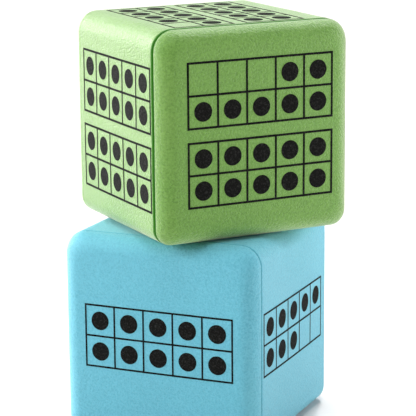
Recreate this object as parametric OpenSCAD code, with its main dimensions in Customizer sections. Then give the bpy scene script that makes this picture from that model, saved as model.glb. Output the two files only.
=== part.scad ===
// Two giant soft foam dice, one standing on the other, with ten-frame counting grids on every side.
// Millimetres, +Z up. The lower die rests on Z = 0, centred on the Z axis, with its caps facing -Y and +Y.
// Each die is a foam block, a foam sheet bent round four of its sides, and a thick cap on either end.

/* [Die] */
// Length of each edge of a die
die_w = 127; // [125:1:150]
// Outer radius of the wrap's four bends
bend_r = 12.5; // [11.5:0.5:15]
// Radius of the edge all round the face of a cap
cap_r = 10.5; // [8:0.5:11]
// Thickness of the sheet that wraps four sides
wrap_t = 6; // [4:0.5:8]
// How much rounder the core's long edges are than the inside of the bends
core_ease = 1.5; // [0.5:0.5:4]

/* [Seams] */
// Width of the groove between the front cap and the wrap
groove_w = 0.8; // [0.4:0.1:1.5]
// Depth of that groove
groove_d = 1.5; // [0.5:0.1:3]
// Space between the two ends of the wrap, on its underside
butt_gap = 0.4; // [0.2:0.1:1]

/* [Print] */
// Side of one square cell on the lower die
lower_cell = 19.3; // [15:0.05:19.5]
// Side of one square cell on the upper die
upper_cell = 19.15; // [15:0.05:19.5]
// Space between the two ten-frames of a side that has two
frame_gap = 8.6; // [4:0.2:12]
// Diameter of a dot
dot_d = 11.6; // [8:0.1:14]
// Width of the lines on the lower die
lower_line = 1.1; // [0.6:0.05:2]
// Width of the lines on the upper die
upper_line = 1.35; // [0.6:0.05:2]
// Thickness of the ink film
ink_t = 0.1; // [0.05:0.05:0.3]

/* [Stack] */
// Turn of the upper die about the vertical
upper_turn = 50.4; // [0:0.1:90]
// How far the upper die's centre is to the +X side of the lower die's
upper_x = 5.2; // [-20:0.1:20]
// How far the upper die's centre is to the +Y side of the lower die's
upper_y = 7.4; // [-20:0.1:20]

/* [Hidden] */
$fn = 64;

columns = 5;
rows = 2;
frame_dots = columns * rows;             // a full ten-frame
half = die_w / 2;
straight = die_w - 2 * bend_r;           // the flat part of a side, between two bends
cap_t = cap_r + groove_w;                // the whole thickness of a cap
wrap_len = die_w - 2 * cap_t;            // from one cap to the other
inner_w = die_w - 2 * wrap_t;            // across the inside of the wrap
inner_r = bend_r - wrap_t;
core_r = inner_r + core_ease;

blue = [0.45, 0.76, 0.87];
green = [0.47, 0.69, 0.34];
black = [0.07, 0.07, 0.08];
pale_blue = [0.62, 0.84, 0.90];
pale_green = [0.64, 0.80, 0.52];

// ---- foam ----

module rounded_square(w, r) {
    square([w - 2 * r, w], center = true);
    square([w, w - 2 * r], center = true);
    for (x = [-1, 1], y = [-1, 1])
        translate([x, y] * (w / 2 - r)) circle(r);
}

// The section of a cap's edge: x points out of the side, y points towards the face
module round_over() {
    square([bend_r - cap_r, cap_r]);
    translate([bend_r - cap_r, 0])
        intersection() {
            circle(cap_r);
            square(cap_r);
        }
}

// A cap with its face upward, standing on a step that is set in where there is a groove at the seam
module cap_slab(set_in) {
    linear_extrude(groove_w) rounded_square(die_w - 2 * set_in, bend_r - set_in);
    translate([0, 0, groove_w]) {
        linear_extrude(cap_r) square(straight, center = true);
        for (turn = [0 : 90 : 270])
            rotate(turn) {
                translate([straight / 2, 0, 0])
                    rotate([90, 0, 0]) linear_extrude(straight, center = true) round_over();
                translate([straight, straight, 0] / 2)
                    rotate_extrude(angle = 90) round_over();
            }
    }
}

module front_cap() {
    translate([0, -wrap_len / 2, 0]) rotate([90, 0, 0]) cap_slab(groove_d);
}

// The back cap is bonded flush, with no groove
module back_cap() {
    translate([0, wrap_len / 2, 0]) rotate([-90, 0, 0]) cap_slab(0);
}

// One sheet, bent round four sides, whose ends meet under the die beside a bend
module wrap() {
    difference() {
        rotate([90, 0, 0])
            linear_extrude(wrap_len, center = true)
                difference() {
                    rounded_square(die_w, bend_r);
                    rounded_square(inner_w, inner_r);
                }
        translate([-straight / 2, 0, -half])
            cube([butt_gap, 2 * wrap_len, 3 * wrap_t], center = true);
    }
}

module core() {
    rotate([90, 0, 0]) linear_extrude(wrap_len, center = true) rounded_square(inner_w, core_r);
}

// ---- print ----

// The middle of cell number i, which counts along the top row first
function cell_centre(i, cell) =
    [(i % columns - (columns - 1) / 2) * cell, ((rows - 1) / 2 - floor(i / columns)) * cell];

module ten_frame(dots, cell, line) {
    linear_extrude(ink_t)
        difference() {
            square([columns * cell + line, rows * cell + line], center = true);
            for (i = [0 : frame_dots - 1])
                translate(cell_centre(i, cell)) square(cell - line, center = true);
        }
    for (i = [0 : dots - 1])
        translate(cell_centre(i, cell)) cylinder(d = dot_d, h = ink_t);
}

// One ten-frame up to ten dots, and past that two, the upper one full
module count_print(dots, cell, line) {
    step = rows * cell + frame_gap;
    if (dots <= frame_dots)
        ten_frame(dots, cell, line);
    else {
        translate([0, step / 2, 0]) ten_frame(frame_dots, cell, line);
        translate([0, -step / 2, 0]) ten_frame(dots - frame_dots, cell, line);
    }
}

module lower_print(dots) count_print(dots, lower_cell, lower_line);
module upper_print(dots) count_print(dots, upper_cell, upper_line);

// Lays a print on a side. Seen from outside, shift is [right, up] and turn is counterclockwise.
module on_side(side, shift = [0, 0], turn = 0) {
    tilt = side == "front" ? [90, 0, 0]
         : side == "right" ? [90, 0, 90]
         : side == "back" ? [90, 0, 180]
         : side == "left" ? [90, 0, 270]
         : side == "top" ? [0, 0, 0]
         : [180, 0, 0];
    rotate(tilt) translate([shift[0], shift[1], half]) rotate(turn) children();
}

// ---- where the dice stand: each rests on the ink under it ----

module lower_die() {
    translate([0, 0, ink_t + half]) children();
}

module upper_die() {
    translate([upper_x, upper_y, 3 * ink_t + die_w + half]) rotate(upper_turn) children();
}

module blue_core() color(pale_blue) lower_die() core();
module blue_wrap() color(blue) lower_die() wrap();
module blue_front_cap() color(blue) lower_die() front_cap();
module blue_back_cap() color(blue) lower_die() back_cap();

module blue_ten_print() color(black) lower_die() on_side("front", [1, 1]) lower_print(10);
module blue_eight_print() color(black) lower_die() on_side("right", [-1, 2]) lower_print(8);
module blue_five_print() color(black) lower_die() on_side("back", [1, -1]) lower_print(5);
module blue_seven_print() color(black) lower_die() on_side("left", [1, 1]) lower_print(7);
module blue_nine_print() color(black) lower_die() on_side("top") lower_print(9);
module blue_six_print() color(black) lower_die() on_side("bottom") lower_print(6);

module green_core() color(pale_green) upper_die() core();
module green_wrap() color(green) upper_die() wrap();
module green_front_cap() color(green) upper_die() front_cap();
module green_back_cap() color(green) upper_die() back_cap();

module green_seventeen_print() color(black) upper_die() on_side("front", [1.5, 2.1], 180) upper_print(17);
module green_fifteen_print() color(black) upper_die() on_side("right", [-1, 1]) upper_print(15);
module green_eighteen_print() color(black) upper_die() on_side("back", [1, -1]) upper_print(18);
module green_twenty_print() color(black) upper_die() on_side("left", [1, -1.5]) upper_print(20);
module green_nineteen_print() color(black) upper_die() on_side("top", [-4, 0], -90) upper_print(19);
module green_sixteen_print() color(black) upper_die() on_side("bottom") upper_print(16);

blue_core();
blue_wrap();
blue_front_cap();
blue_back_cap();
blue_ten_print();
blue_eight_print();
blue_five_print();
blue_seven_print();
blue_nine_print();
blue_six_print();
green_core();
green_wrap();
green_front_cap();
green_back_cap();
green_seventeen_print();
green_fifteen_print();
green_eighteen_print();
green_twenty_print();
green_nineteen_print();
green_sixteen_print();
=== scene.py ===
import math

import bpy
from mathutils import Matrix, Vector, noise


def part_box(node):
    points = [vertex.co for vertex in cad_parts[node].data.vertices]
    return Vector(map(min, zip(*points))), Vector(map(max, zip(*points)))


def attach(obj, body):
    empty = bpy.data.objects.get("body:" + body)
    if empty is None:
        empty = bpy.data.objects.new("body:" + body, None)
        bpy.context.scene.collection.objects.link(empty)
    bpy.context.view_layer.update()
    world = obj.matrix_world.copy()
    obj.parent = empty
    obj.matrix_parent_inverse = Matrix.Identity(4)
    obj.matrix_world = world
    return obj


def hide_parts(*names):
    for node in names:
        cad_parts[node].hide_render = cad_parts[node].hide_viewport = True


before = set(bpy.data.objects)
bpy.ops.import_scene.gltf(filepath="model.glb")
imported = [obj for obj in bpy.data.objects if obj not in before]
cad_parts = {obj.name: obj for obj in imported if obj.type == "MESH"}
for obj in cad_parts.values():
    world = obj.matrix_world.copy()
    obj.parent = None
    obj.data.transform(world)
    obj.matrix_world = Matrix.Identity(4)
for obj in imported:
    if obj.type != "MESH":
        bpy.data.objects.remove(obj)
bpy.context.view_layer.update()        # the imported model: bodies, nodes, joints, record
print("frame loaded:", len(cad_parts), "nodes")

mm = 0.001

# what the CAD says about a die, read off the blue one because it stands square to the axes
wrapLow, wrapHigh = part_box("blue_wrap")
coreLow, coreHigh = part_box("blue_core")
capLow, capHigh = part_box("blue_front_cap")
printLow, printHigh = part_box("blue_ten_print")
dieWidth = wrapHigh.x - wrapLow.x
half = dieWidth / 2
wrapLength = wrapHigh.y - wrapLow.y
sheetThickness = coreLow.x - wrapLow.x
capThickness = capHigh.y - capLow.y
coreWidth = coreHigh.x - coreLow.x
inkThickness = printHigh.y - printLow.y


class Wire:
    # a shader value that joins in sums like a plain number
    def __init__(self, shader, socket):
        self.shader, self.socket = shader, socket

    def sum(self, operation, first, second):
        return self.shader.add("ShaderNodeMath", {"operation": operation}, {0: first, 1: second})

    def __add__(self, other):
        return self.sum("ADD", self, other)

    def __radd__(self, other):
        return self.sum("ADD", other, self)

    def __sub__(self, other):
        return self.sum("SUBTRACT", self, other)

    def __rsub__(self, other):
        return self.sum("SUBTRACT", other, self)

    def __mul__(self, other):
        return self.sum("MULTIPLY", self, other)

    def __rmul__(self, other):
        return self.sum("MULTIPLY", other, self)


class Shader:
    # one material; add() makes every node in it
    def __init__(self, name):
        self.material = bpy.data.materials.new(name)
        self.material.use_nodes = True
        self.tree = self.material.node_tree
        self.tree.nodes.clear()

    def add(self, kind, settings=None, inputs=None, output=0):
        node = self.tree.nodes.new(kind)
        for key, value in (settings or {}).items():
            setattr(node, key, value)
        for key, value in (inputs or {}).items():
            if isinstance(value, Wire):
                self.tree.links.new(value.socket, node.inputs[key])
            else:
                node.inputs[key].default_value = value
        return Wire(self, node.outputs[output]) if node.outputs else None

    def place(self):
        return self.add("ShaderNodeTexCoord", None, None, "Object")

    def painted(self, name):
        # a value stored on the points of the mesh
        return self.add("ShaderNodeAttribute", {"attribute_name": name}, None, "Fac")

    def noise(self, place, scale, detail=2.0, roughness=0.5, bend=0.0):
        inputs = {
            "Vector": place,
            "Scale": scale,
            "Detail": detail,
            "Roughness": roughness,
            "Distortion": bend,
        }
        return self.add("ShaderNodeTexNoise", None, inputs, "Fac")

    def span(self, value, low, high):
        # 0 at low, 1 at high, held beyond them
        inputs = {"Value": value, "From Min": low, "From Max": high}
        return self.add("ShaderNodeMapRange", {"clamp": True}, inputs, "Result")

    def blend(self, factor, first, second):
        return self.add("ShaderNodeMix", {"data_type": "RGBA"}, {0: factor, 6: first, 7: second}, 2)

    def bump(self, height, depth, strength=1.0):
        inputs = {"Height": height, "Distance": depth, "Strength": strength}
        return self.add("ShaderNodeBump", None, inputs, "Normal")

    def surface(self, inputs, constants):
        return self.add("ShaderNodeBsdfPrincipled", None, {**constants, **inputs}, "BSDF")

    def mixSurfaces(self, factor, first, second):
        return self.add("ShaderNodeMixShader", None, {0: factor, 1: first, 2: second})

    def finish(self, surface):
        self.add("ShaderNodeOutputMaterial", None, {"Surface": surface})
        return self.material


foamIor = 1.45        # of the foam and of the ink on it

# the moulded skin of the foam: a fine pebbled nap, with painted highlight on its tips and painted shade in
# its hollows and down in the seams
napLook = {
    "scale": 860,                  # pebbles a little over a millimetre
    "bend": 0.8,
    "grainScale": 1500,
    "grainShare": 0.25,
    "depth": 0.00075,
    "hollowShade": (0.36, 0.5),        # heights over which the painted shade of the hollows fades out
    "tipHighlight": (0.5, 0.64),           # heights over which the painted highlight of the tips comes in
    "roughnessSwing": 0.12,        # from the hollows to the tips
    "driftScale": 16,              # slow drifts of the tone
    "drift": (0.35, 0.75),
    "driftShare": 0.18,
    "rubbed": (0.4, 0.62),         # where wear has paled an edge
    "rubbedShare": 0.35,
    "rubbedPolish": 0.05,          # how much smoother it is there
    "seamRoughness": 0.9,
}
blueSkin = {
    "colour": (0.142, 0.565, 0.72, 1),
    "deepToneAndShade": (0.118, 0.51, 0.66, 1),      # a deeper tone: painted shade in the hollows of the nap and the core's cell walls, and the foam under worn ink
    "paleToneAndHighlight": (0.166, 0.61, 0.77, 1),    # a paler tone: painted highlight on the tips of the nap, the slow drifts of tone and the middles of the core's cells
    # painted shade down in the front groove, darker and richer than the skin
    "seam": (0.035, 0.33, 0.42, 1),
    "seamShade": 0.5,
    "rubbed": (0.20, 0.65, 0.77, 1),     # along the edges
    "roughness": 0.6,
    "specular": 0.45,
    "sheen": 0.28,
    "sheenTint": (1, 1, 1, 1),
    "sheenRoughness": 0.5,
}
greenSkin = {
    "colour": (0.158, 0.385, 0.048, 1),
    # deeper and paler tones: painted shade in the nap's hollows, painted highlight on its tips
    "deepToneAndShade": (0.122, 0.32, 0.035, 1),
    "paleToneAndHighlight": (0.197, 0.45, 0.064, 1),
    # painted shade down in the front groove
    "seam": (0.004, 0.14, 0.001, 1),
    "seamShade": 1.0,
    "rubbed": (0.26, 0.48, 0.11, 1),
    "roughness": 0.52,
    "specular": 0.5,
    "sheen": 0.65,
    "sheenTint": (1, 0.96, 0.95, 1),
    "sheenRoughness": 0.5,
}


def napHeight(shader, place, nap):
    # the pebbles alone, and the height of the whole nap with its grain
    pebbles = shader.noise(place, nap["scale"], detail=1.0, bend=nap["bend"])
    grain = shader.noise(place, nap["grainScale"], detail=1.0)
    return pebbles, pebbles * (1 - nap["grainShare"]) + grain * nap["grainShare"]


def makeSkin(name, look, nap):
    shader = Shader(name)
    place = shader.place()
    pebbles, height = napHeight(shader, place, nap)
    drift = shader.noise(place, nap["driftScale"])
    # painted shade in the nap's hollows and painted highlight on its tips, by its height
    colour = shader.blend(shader.span(height, *nap["hollowShade"]), look["deepToneAndShade"], look["colour"])
    colour = shader.blend(shader.span(height, *nap["tipHighlight"]), colour, look["paleToneAndHighlight"])
    drifted = shader.span(drift, *nap["drift"]) * nap["driftShare"]
    colour = shader.blend(drifted, colour, look["paleToneAndHighlight"])
    rubbed = shader.painted("rub") * shader.span(pebbles * 0.5 + drift * 0.5, *nap["rubbed"])
    colour = shader.blend(rubbed * nap["rubbedShare"], colour, look["rubbed"])
    rough = look["roughness"] + nap["roughnessSwing"] * (height - 0.5) - nap["rubbedPolish"] * rubbed
    normal = shader.bump(height, nap["depth"])
    foam = shader.surface(
        {"Base Color": colour, "Roughness": rough, "Normal": normal},
        {
            "IOR": foamIor,
            "Specular IOR Level": look["specular"],
            "Sheen Weight": look["sheen"],
            "Sheen Roughness": look["sheenRoughness"],
            "Sheen Tint": look["sheenTint"],
        },
    )
    # down in a seam the skin is made matt and dark: painted shade in the groove and over its lips
    constants = {"Base Color": look["seam"], "Roughness": nap["seamRoughness"], "Specular IOR Level": 0}
    seam = shader.surface({}, constants)
    shade = shader.painted("creaseShade") * look["seamShade"]
    return shader.finish(shader.mixSurfaces(shade, foam, seam))


inkLook = {
    "colour": (0.005, 0.0055, 0.005, 1),
    "speck": (0.027, 0.029, 0.027, 1),     # where the film lies thin over the nap
    "thin": (0.5, 0.66),                   # heights of the nap over which it thins
    "thinRoughness": 0.1,                  # how much rougher it is there
    "wornScale": 1500,
    "worn": (0.72, 0.78),
    "wornShare": 0.4,                      # how much of the foam shows through a worn spot
    "roughness": 0.8,
    "specular": 0.12,
    "bump": 0.8,
}


def makeInk(name, look, skin, nap):
    shader = Shader(name)
    place = shader.place()
    _, height = napHeight(shader, place, nap)
    thin = shader.span(height, *look["thin"])
    colour = shader.blend(thin, look["colour"], look["speck"])
    worn = shader.span(shader.noise(place, look["wornScale"], roughness=0.6), *look["worn"])
    colour = shader.blend(worn * look["wornShare"], colour, skin["deepToneAndShade"])
    rough = look["roughness"] + look["thinRoughness"] * thin
    normal = shader.bump(height, nap["depth"], look["bump"])
    film = shader.surface(
        {"Base Color": colour, "Roughness": rough, "Normal": normal},
        {"IOR": foamIor, "Specular IOR Level": look["specular"]},
    )
    return shader.finish(film)


# the cut foam inside shows its cells
coreLook = {
    "cellScale": 420,
    "cellDepth": 0.0004,
    "walls": (0.1, 0.6),      # how far from a cell's middle its wall begins, and is whole
    "wallPolish": 0.08,
    "roughness": 0.9,
}


def makeCoreFoam(name, look, skin):
    shader = Shader(name)
    inputs = {"Vector": shader.place(), "Scale": look["cellScale"]}
    cells = shader.add("ShaderNodeTexVoronoi", None, inputs, "Distance")
    walls = shader.span(cells, *look["walls"])
    # the cell walls, low in the bump, take the deeper tone as painted shade
    colour = shader.blend(walls, skin["paleToneAndHighlight"], skin["deepToneAndShade"])
    rough = look["roughness"] - look["wallPolish"] * walls
    normal = shader.bump(1 - walls, look["cellDepth"])
    inputs = {"Base Color": colour, "Roughness": rough, "Normal": normal}
    return shader.finish(shader.surface(inputs, {"IOR": foamIor}))


# directions on each side, seen from outside: right, up, out
sides = {
    "front": (Vector((1, 0, 0)), Vector((0, 0, 1)), Vector((0, -1, 0))),
    "right": (Vector((0, 1, 0)), Vector((0, 0, 1)), Vector((1, 0, 0))),
    "back": (Vector((-1, 0, 0)), Vector((0, 0, 1)), Vector((0, 1, 0))),
    "left": (Vector((0, -1, 0)), Vector((0, 0, 1)), Vector((-1, 0, 0))),
    "top": (Vector((1, 0, 0)), Vector((0, 1, 0)), Vector((0, 0, 1))),
    "bottom": (Vector((1, 0, 0)), Vector((0, -1, 0)), Vector((0, 0, -1))),
}

foamShape = {
    "bendRadius": 12.5 * mm,      # the wrap's two upper bends
    "footRadius": 9.5 * mm,       # its two lower bends, which the die's weight presses tighter
    "edgeRadius": 10.5 * mm,      # the cap's edge, towards its face
    "cornerTightening": 0.7,      # the corners of the cap's flat face against the bends
    "grooveDepth": 1.5 * mm,
    "crown": 0.5 * mm,            # how far the middle of a free side stands proud
    # rate and height of the slow unevenness
    "waves": [(26, 0.13 * mm), (75, 0.035 * mm)],
}

# a side that lies on something is pressed flat; capLip and wrapLip are the rounded rims on both
# sides of the front groove, and flushLip those of the back seam, which is bonded flush
blueDie = {
    "name": "blue",
    "body": "blue_die",
    "turn": 0,
    "seed": 3.1,
    "pressed": ("bottom", "top"),
    "capLip": 0.6 * mm,
    "wrapLip": 0.7 * mm,
    "flushLip": 0.25 * mm,
    "creaseShadeFade": 1.2,        # how soon the groove's painted shade fades out over its lips
}
greenDie = {
    "name": "green",
    "body": "green_die",
    "turn": 50.4,
    "seed": 11.7,
    "pressed": ("bottom",),
    "capLip": 1.1 * mm,
    "wrapLip": 2.3 * mm,
    "flushLip": 0.25 * mm,
    # the groove's painted shade reaches far over the lips
    "creaseShadeFade": 0.22,
}

for die in (blueDie, greenDie):
    low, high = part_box(die["name"] + "_core")
    centre = (low + high) / 2
    die["place"] = Matrix.Translation(centre) @ Matrix.Rotation(math.radians(die["turn"]), 4, "Z")


def swell(die, point, normal):
    # how far the real foam stands proud of its plain shape
    dome = [1 - min(1, (c / half) ** 2) for c in point]
    seed = Vector((die["seed"], 0, 0))
    waves = sum(size * noise.noise(point * rate + seed) for rate, size in foamShape["waves"])
    total = 0
    for axis, names in enumerate((("left", "right"), ("front", "back"), ("bottom", "top"))):
        if names[normal[axis] > 0] in die["pressed"]:
            continue
        crown = foamShape["crown"] * dome[axis - 1] * dome[axis - 2]
        total += normal[axis] ** 2 * (crown + waves)
    return total


def roundedSquare(width, foot, bend, sideSteps=26, bendSteps=12):
    # (point, direction out, how far round a bend), counterclockwise from the left end of the bottom side
    radii = (foot, bend, bend, foot)
    reach = width / 2
    stations = []
    for quarter in range(4):
        turn = Matrix.Rotation(quarter * math.pi / 2, 2)
        start = radii[quarter - 1] - reach
        stop = reach - radii[quarter]
        for i in range(sideSteps):
            along = start + (stop - start) * i / sideSteps
            stations.append((turn @ Vector((along, -reach)), turn @ Vector((0, -1)), 0))
        for i in range(bendSteps):
            angle = math.pi / 2 * i / bendSteps
            out = Vector((math.sin(angle), -math.cos(angle)))
            corner = Vector((stop, -stop))
            stations.append((turn @ (corner + radii[quarter] * out), turn @ out, math.sin(2 * angle)))
    return stations


def meshPiece(die, name, verts, faces, material, sharpAngle=40, painted=None):
    mesh = bpy.data.meshes.new(name)
    mesh.from_pydata([die["place"] @ v for v in verts], [], faces)
    mesh.validate()
    mesh.shade_smooth()
    mesh.set_sharp_from_angle(angle=math.radians(sharpAngle))
    for key, values in (painted or {}).items():
        mesh.attributes.new(key, "FLOAT", "POINT").data.foreach_set("value", values)
    mesh.materials.append(material)
    piece = bpy.data.objects.new(name, mesh)
    bpy.context.scene.collection.objects.link(piece)
    return piece


def stitchLoops(loops, faces):
    # quads between neighbouring closed loops of equal length
    count = len(loops[0])
    for row in range(len(loops) - 1):
        for i in range(count):
            j = (i + 1) % count
            a = row * count
            b = a + count
            faces.append((a + i, b + i, b + j, a + j))


# a hub is the innermost loop's distance from the middle, in steps
capShape = {
    "faceSteps": 15,
    "faceHub": 0.35,
    "edgeSteps": 14,
    "lipSteps": 6,
    "backSteps": 6,
    "backHub": 0.2,
}


def capProfile(die, side):
    # from the face's middle to the back's: inset, depth behind the face, lean of the normal, swell,
    # painted shade of the groove
    edge, groove = foamShape["edgeRadius"], foamShape["grooveDepth"]
    grooved = side == "front"
    lip = die["capLip"] if grooved else die["flushLip"]
    faceSteps, edgeSteps = capShape["faceSteps"], capShape["edgeSteps"]
    lipSteps, backSteps = capShape["lipSteps"], capShape["backSteps"]
    steps = []
    for i in range(faceSteps):
        steps.append((half - (half - edge) * (i + capShape["faceHub"]) / faceSteps, 0, 1, 1, 0))
    lipEnd = edge if grooved else capThickness
    lipStart = lipEnd - lip
    for i in range(edgeSteps + 1):
        depth = min(edge * (1 - math.cos(math.pi / 2 * i / edgeSteps)), lipStart)
        lean = math.acos(max(1 - depth / edge, 0))
        steps.append((edge * (1 - math.sin(lean)), depth, 1 - lean / (math.pi / 2), 1, 0))
        if depth >= lipStart:
            break
    inset = steps[-1][0]
    if not grooved:
        steps.append((inset, lipStart, 0, 1, 0))
    for i in range(1, lipSteps + 1):
        angle = math.pi / 2 * i / lipSteps
        curl = (inset + lip * (1 - math.cos(angle)), lipStart + lip * math.sin(angle))
        # the groove's painted shade comes in over the cap's lip
        steps.append((*curl, 0, 1, (i / lipSteps) ** die["creaseShadeFade"] if grooved else 0))
    if grooved:
        steps.append((groove, edge, 0, 0, 1))
        steps.append((groove, capThickness, 0, 0, 1))
    for i in range(1, backSteps + 1):
        inset = groove + (half - groove) * (i - capShape["backHub"]) / backSteps
        steps.append((inset, capThickness, 0, 0, 0))
    return steps


def makeCap(die, side, material):
    right, up, out = sides[side]
    edge, foot, bend = (foamShape[k] for k in ("edgeRadius", "footRadius", "bendRadius"))
    tight = foamShape["cornerTightening"]
    verts, loops = [], []
    creaseShade, rub = [], []
    for inset, depth, lean, share, shadeShare in capProfile(die, side):
        width = dieWidth - 2 * inset
        if depth >= edge:
            radii = (max(foot - inset, 0), max(bend - inset, 0))
        elif inset <= edge:
            ease = 1 + (tight - 1) * inset / edge
            radii = (foot * ease, bend * ease)
        else:
            shrink = width / 2 / (half - edge)
            radii = (foot * tight * shrink, bend * tight * shrink)
        loop = []
        angle = lean * math.pi / 2
        for flat, direction, bent in roundedSquare(width, *radii):
            place = right * flat.x + up * flat.y + out * (half - depth)
            normal = (right * direction.x + up * direction.y) * math.cos(angle) + out * math.sin(angle)
            loop.append(place + normal * swell(die, place, normal) * share)
            creaseShade.append(shadeShare)
            rub.append(max(math.sin(2 * angle), bent * math.cos(angle)) * share)
        loops.append(loop)
        verts += loop
    count = len(loops[0])
    faces = []
    stitchLoops(loops, faces)
    for first, order in ((0, 1), (len(verts) - count, -1)):
        middle = sum((verts[first + i] for i in range(count)), Vector()) / count
        verts.append(middle)
        creaseShade.append(0)
        rub.append(0)
        for i in range(count):
            j = (i + 1) % count
            faces.append((len(verts) - 1, first + i, first + j)[::order])
    painted = {"creaseShade": creaseShade, "rub": rub}
    piece = meshPiece(die, f"{die['name']}_{side}_cap_foam", verts, faces, material, painted=painted)
    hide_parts(f"{die['name']}_{side}_cap")
    return piece


wrapShape = {"alongSteps": 30, "lipSteps": 6, "buttGap": 0.4 * mm}


def makeWrap(die, material):
    lip, flush = die["wrapLip"], die["flushLip"]
    end = wrapLength / 2
    lipSteps, alongSteps = wrapShape["lipSteps"], wrapShape["alongSteps"]
    # across the sheet, from one cap to the other: y, depth below the skin, painted shade of the groove
    front, back = [], []
    for i in range(lipSteps):
        angle = math.pi / 2 * i / lipSteps
        reach, dip = 1 - math.cos(angle), 1 - math.sin(angle)
        # the groove's painted shade fades out over the wrap's lip
        front.append((lip * reach - end, lip * dip, (1 - i / lipSteps) ** die["creaseShadeFade"]))
        back.append((end - flush * reach, flush * dip, 0))
    span = wrapLength - lip - flush
    flat = [(lip - end + span * i / alongSteps, 0, 0) for i in range(alongSteps + 1)]
    skin = front + flat + back[::-1]
    stations = roundedSquare(dieWidth, foamShape["footRadius"], foamShape["bendRadius"])
    start, out, bent = stations[0]
    gap = Vector((wrapShape["buttGap"] / 2, 0))
    stations = [(start + gap, out, bent)] + stations[1:] + [(start - gap, out, bent)]
    verts, creaseShade, rub = [], [], []
    for flatPoint, direction, bent in stations:
        normal = Vector((direction.x, 0, direction.y))
        for y, depth, shadeShare in skin:
            place = Vector((flatPoint.x, y, flatPoint.y))
            verts.append(place + normal * (swell(die, place, normal) - depth))
            creaseShade.append(shadeShare)
            rub.append(bent)
        for y, depth, shadeShare in skin:
            place = Vector((flatPoint.x, y, flatPoint.y))
            verts.append(place - normal * sheetThickness)
            creaseShade.append(shadeShare)
            rub.append(0)
    count = len(skin)
    row = 2 * count
    faces = []
    for s in range(len(stations) - 1):
        a, b = s * row, (s + 1) * row
        for i in range(count - 1):
            faces.append((a + i, b + i, b + i + 1, a + i + 1))
            faces.append((a + count + i + 1, b + count + i + 1, b + count + i, a + count + i))
        faces.append((a + count, b + count, b, a))
        faces.append((a + count - 1, b + count - 1, b + row - 1, a + row - 1))
    last = (len(stations) - 1) * row
    for i in range(count - 1):
        faces.append((i, i + 1, count + i + 1, count + i))
        faces.append((last + i + 1, last + i, last + count + i, last + count + i + 1))
    painted = {"creaseShade": creaseShade, "rub": rub}
    piece = meshPiece(die, die["name"] + "_wrap_foam", verts, faces, material, painted=painted)
    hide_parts(die["name"] + "_wrap")
    return piece


coreShape = {
    "edgeRadius": 8 * mm,
    "rim": 0.8 * mm,
    "rimSteps": 5,
    "alongSteps": 12,
    "sideSteps": 12,
    "bendSteps": 6,
    "hub": 2 * mm,            # the innermost loop's distance from the middle of an end
    "roundest": 0.4,          # the largest radius of a loop's corners, as a share of its width
}


def makeCore(die, material):
    # a sawn block: rounded long edges, and a small rim where its ends were cut
    rim, rimSteps, alongSteps = coreShape["rim"], coreShape["rimSteps"], coreShape["alongSteps"]
    halfLength = wrapLength / 2
    front = [(coreWidth / 2 - coreShape["hub"], -halfLength), (coreWidth / 4, -halfLength)]
    for i in range(rimSteps):
        angle = math.pi / 2 * i / (rimSteps - 1)
        front.append((rim * (1 - math.sin(angle)), -halfLength + rim * (1 - math.cos(angle))))
    straight = wrapLength - 2 * rim
    along = [(0, rim - halfLength + straight * i / alongSteps) for i in range(1, alongSteps)]
    sideSteps, bendSteps = coreShape["sideSteps"], coreShape["bendSteps"]
    verts, loops = [], []
    for inset, y in front + along + [(inset, -y) for inset, y in reversed(front)]:
        width = coreWidth - 2 * inset
        radius = min(coreShape["edgeRadius"], width * coreShape["roundest"])
        section = roundedSquare(width, radius, radius, sideSteps, bendSteps)
        loop = [Vector((point.x, y, point.y)) for point, _, _ in section]
        loops.append(loop)
        verts += loop
    count = len(loops[0])
    faces = []
    stitchLoops(loops, faces)
    faces.append(tuple(reversed(range(count))))
    faces.append(tuple(range(len(verts) - count, len(verts))))
    piece = meshPiece(die, die["name"] + "_core_foam", verts, faces, material)
    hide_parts(die["name"] + "_core")
    return piece


frameShape = {
    "columns": 5,
    "rows": 2,
    "gap": 8.6 * mm,
    "dot": 11.6 * mm,
    "rootDepth": 0.05 * mm,      # how far the film reaches into the foam
    "sharpAngle": 30,
}
dotShape = {
    "around": 48,
    "rings": 3,
    "ragged": 0.008,             # how uneven the rim is, as a share of the radius
    "raggedRate": 3,
    "seedRate": 100,             # sets the dots of one ten-frame apart from those of the other
}
blueDie["grid"] = {"cell": 19.3 * mm, "line": 1.1 * mm}
greenDie["grid"] = {"cell": 19.15 * mm, "line": 1.35 * mm}

# side, dots, turn on the side
blueDie["prints"] = {
    "ten": ("front", 10, 0),
    "eight": ("right", 8, 0),
    "five": ("back", 5, 0),
    "seven": ("left", 7, 0),
    "nine": ("top", 9, 0),
    "six": ("bottom", 6, 0),
}
greenDie["prints"] = {
    "seventeen": ("front", 17, 180),
    "fifteen": ("right", 15, 0),
    "eighteen": ("back", 18, 0),
    "twenty": ("left", 20, 0),
    "nineteen": ("top", 19, -90),
    "sixteen": ("bottom", 16, 0),
}


def splitEdges(count, pitch, line, pieces=4):
    # across a row of cells: the edges of each line, and a few stops between lines
    stops = []
    for i in range(count + 1):
        middle = (i - count / 2) * pitch
        stops += [middle - line / 2, middle + line / 2]
        if i < count:
            gap = pitch - line
            stops += [middle + line / 2 + gap * k / pieces for k in range(1, pieces)]
    return stops, pieces + 1


def gridFilm(columns, rows, cell, line):
    # a flat patch of ink as points and quads: the lines of one ten-frame
    across, step = splitEdges(columns, cell, line)
    along, _ = splitEdges(rows, cell, line)
    used, quads = {}, []
    for i in range(len(across) - 1):
        for j in range(len(along) - 1):
            if i % step and j % step:
                continue      # the inside of a cell is bare foam
            corners = ((i, j), (i + 1, j), (i + 1, j + 1), (i, j + 1))
            quads.append([used.setdefault(key, len(used)) for key in corners])
    points = [Vector((across[i], along[j])) for i, j in used]
    return points, quads


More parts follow.
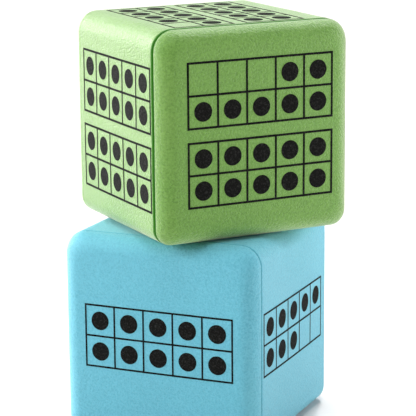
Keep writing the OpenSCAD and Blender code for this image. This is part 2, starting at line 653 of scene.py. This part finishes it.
def dotFilm(centre, diameter, seed):
    # one dot of ink, as rings of points and quads, with a slightly uneven rim
    around, rings, rate = dotShape["around"], dotShape["rings"], dotShape["raggedRate"]
    points = [centre.copy()]
    quads = []
    for ring in range(1, rings + 1):
        for i in range(around):
            angle = 2 * math.pi * i / around
            ray = Vector((math.cos(angle), math.sin(angle)))
            reach = 1
            if ring == rings:
                reach += dotShape["ragged"] * noise.noise(Vector((ray.x * rate, ray.y * rate, seed)))
            points.append(centre + ray * diameter / 2 * ring / rings * reach)
    for i in range(around):
        j = (i + 1) % around
        quads.append([0, 1 + i, 1 + j])
        for ring in range(rings - 1):
            a = 1 + ring * around
            quads.append([a + i, a + around + i, a + around + j, a + j])
    return points, quads


def printPatches(dots, grid):
    # every separate patch of ink of one print, in the print's own plane
    columns, rows, cell = frameShape["columns"], frameShape["rows"], grid["cell"]
    step = rows * cell + frameShape["gap"]
    full = columns * rows
    layout = [(0, dots)] if dots <= full else [(step / 2, full), (-step / 2, dots - full)]
    patches = []
    for rise, count in layout:
        points, quads = gridFilm(columns, rows, cell, grid["line"])
        patches.append(([p + Vector((0, rise)) for p in points], quads))
        for i in range(count):
            column, row = i % columns, i // columns
            centre = Vector(((column - (columns - 1) / 2) * cell, ((rows - 1) / 2 - row) * cell + rise))
            patches.append(dotFilm(centre, frameShape["dot"], i + rise * dotShape["seedRate"]))
    return patches


def makePrint(die, label, material):
    side, dots, turn = die["prints"][label]
    right, up, out = sides[side]
    node = f"{die['name']}_{label}_print"
    low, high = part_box(node)
    middle = die["place"].inverted() @ ((low + high) / 2)
    shift = Vector((middle.dot(right), middle.dot(up)))
    twist = Matrix.Rotation(math.radians(turn), 2)
    verts, faces = [], []
    for points, quads in printPatches(dots, die["grid"]):
        start, count = len(verts), len(points)
        for level in (inkThickness, -frameShape["rootDepth"]):
            for point in points:
                flat = twist @ point + shift
                place = right * flat.x + up * flat.y + out * half
                verts.append(place + out * (swell(die, place, out) + level))
        edges = set()
        for quad in quads:
            faces.append([start + k for k in quad])
            faces.append([start + count + k for k in reversed(quad)])
            edges.update(zip(quad, quad[1:] + quad[:1]))
        for a, b in sorted(edges):
            if (b, a) not in edges:      # a rim: close it down to the foam
                faces.append([start + b, start + a, start + count + a, start + count + b])
    piece = meshPiece(die, f"{die['name']}_{label}_ink", verts, faces, material, frameShape["sharpAngle"])
    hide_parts(node)
    return piece


for die, skinLook in ((blueDie, blueSkin), (greenDie, greenSkin)):
    name = die["name"]
    skin = makeSkin(name + "Skin", skinLook, napLook)
    ink = makeInk(name + "Ink", inkLook, skinLook, napLook)
    inside = makeCoreFoam(name + "CoreFoam", coreLook, skinLook)
    foam = [makeCap(die, "front", skin), makeCap(die, "back", skin), makeWrap(die, skin)]
    core = makeCore(die, inside)
    for piece in foam + [core]:
        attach(piece, die["body"])
    for label in die["prints"]:
        piece = makePrint(die, label, ink)
        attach(piece, die["body"])
    print("built the", name, "die:", len(foam) + 1, "foam pieces and", len(die["prints"]), "prints")


floorLook = {"size": 30, "colour": (0.84, 0.79, 0.78, 1), "roughness": 0.8}


def makeFloor(look):
    reach = look["size"] / 2
    corners = [(-reach, -reach, 0), (reach, -reach, 0), (reach, reach, 0), (-reach, reach, 0)]
    mesh = bpy.data.meshes.new("floor")
    mesh.from_pydata(corners, [], [(0, 1, 2, 3)])
    floor = bpy.data.objects.new("floor", mesh)
    bpy.context.scene.collection.objects.link(floor)
    constants = {"Base Color": look["colour"], "Roughness": look["roughness"], "Specular IOR Level": 0}
    shader = Shader("paleFloor")
    mesh.materials.append(shader.finish(shader.surface({}, constants)))


makeFloor(floorLook)

farDistance = 2      # anywhere clear of the dice: only the direction of these lamps counts
# soft lamps far off, each by where it stands round the dice (from the front, to the right) and how high
farLamps = {
    "overhead": {"azimuth": 0, "elevation": 90, "spread": 33, "power": 2.0},
    "backHigh": {"azimuth": -170, "elevation": 45, "spread": 8, "power": 1.9},
    "leftHigh": {"azimuth": -60, "elevation": 30, "spread": 25, "power": 1.2},
    "frontHigh": {"azimuth": 0, "elevation": 60, "spread": 25, "power": 0.46},
    "leftBack": {"azimuth": -120, "elevation": 5, "spread": 25, "power": 2.6},
    "left": {"azimuth": -88, "elevation": 12, "spread": 12, "power": 1.9},
}
# two small ones close by, which shade each side from one edge to the other
nearLamps = {
    "leftNear": {"at": (-0.45, -0.20, 0.28), "aim": (-0.05, 0, 0.20), "size": 0.25, "power": 0.22},
    "rightNear": {"at": (0.36, 0.20, 0.20), "aim": (0.08, 0.03, 0.20), "size": 0.20, "power": 0.70},
}


def outward(azimuth, elevation):
    # the direction to something at these angles, in degrees
    azimuth, elevation = math.radians(azimuth), math.radians(elevation)
    flat = math.cos(elevation)
    return Vector((math.sin(azimuth) * flat, -math.cos(azimuth) * flat, math.sin(elevation)))


def hangLamp(name, data, place, aim):
    lamp = bpy.data.objects.new(name, data)
    lamp.location = place
    lamp.rotation_euler = (Vector(aim) - Vector(place)).to_track_quat("-Z", "Y").to_euler()
    lamp.visible_camera = False
    bpy.context.scene.collection.objects.link(lamp)


for name, look in farLamps.items():
    data = bpy.data.lights.new(name, "SUN")
    data.angle = math.radians(look["spread"])
    data.energy = look["power"]
    hangLamp(name, data, outward(look["azimuth"], look["elevation"]) * farDistance, (0, 0, 0))
for name, look in nearLamps.items():
    data = bpy.data.lights.new(name, "AREA")
    data.size = look["size"]
    data.energy = look["power"]
    hangLamp(name, data, look["at"], look["aim"])

worldLook = {"colour": (1, 1, 1, 1), "strength": 0.02}
world = bpy.data.worlds.new("studio")
world.use_nodes = True
background = world.node_tree.nodes["Background"]
background.inputs["Color"].default_value = worldLook["colour"]
background.inputs["Strength"].default_value = worldLook["strength"]
bpy.context.scene.world = world
bpy.context.scene.view_settings.view_transform = "Standard"
print("lit by", len(farLamps) + len(nearLamps), "lamps")

cameraSet = {
    "azimuth": 23.6,
    "elevation": 12.8,
    "roll": -0.45,
    "distance": 1.203,
    "aim": Vector((0.0055, 0.0024, 0.1341)),
    "lens": 167.5,
    "sensor": 36,
}


def makeCamera(look):
    back = outward(look["azimuth"], look["elevation"])
    data = bpy.data.cameras.new("camera")
    data.lens = look["lens"]
    data.sensor_width = look["sensor"]
    camera = bpy.data.objects.new("camera", data)
    camera.location = look["aim"] + back * look["distance"]
    level = (-back).to_track_quat("-Z", "Y")
    camera.rotation_mode = "QUATERNION"
    roll = Matrix.Rotation(math.radians(look["roll"]), 3, "Z")
    camera.rotation_quaternion = level @ roll.to_quaternion()
    bpy.context.scene.collection.objects.link(camera)
    bpy.context.scene.camera = camera


makeCamera(cameraSet)
